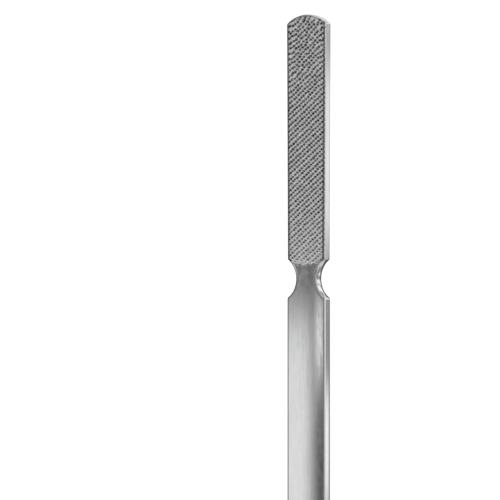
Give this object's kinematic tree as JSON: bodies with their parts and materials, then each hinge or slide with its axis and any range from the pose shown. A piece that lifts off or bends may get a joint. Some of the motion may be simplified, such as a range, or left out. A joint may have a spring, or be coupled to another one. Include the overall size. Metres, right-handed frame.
{
  "type": "double-ended rasp",
  "caption": "Flat double-ended steel rasp: two toothed heads with rounded tips, waisted necks and a smooth crowned handle between them.",
  "frame": {"origin": "middle of the handle, at the centre of the bounding box", "axes": "+Z along the tool to the upper tip, -Y out of the front face, +X to the right-hand edge seen from the front"},
  "size_m": [0.0162, 0.0054, 0.3],
  "materials": {
    "polished_steel": "polished",
    "satin_steel": "satin",
    "cut_steel": "punched, with bright tooth crests and dark pits"
  },
  "bodies": {
    "root": {"upper_head": "satin_steel", "lower_head": "satin_steel", "upper_neck": "polished_steel", "lower_neck": "polished_steel", "handle": "polished_steel", "upper_front_teeth": "cut_steel", "upper_back_teeth": "cut_steel", "lower_front_teeth": "cut_steel", "lower_back_teeth": "cut_steel"}
  },
  "joints": []
}
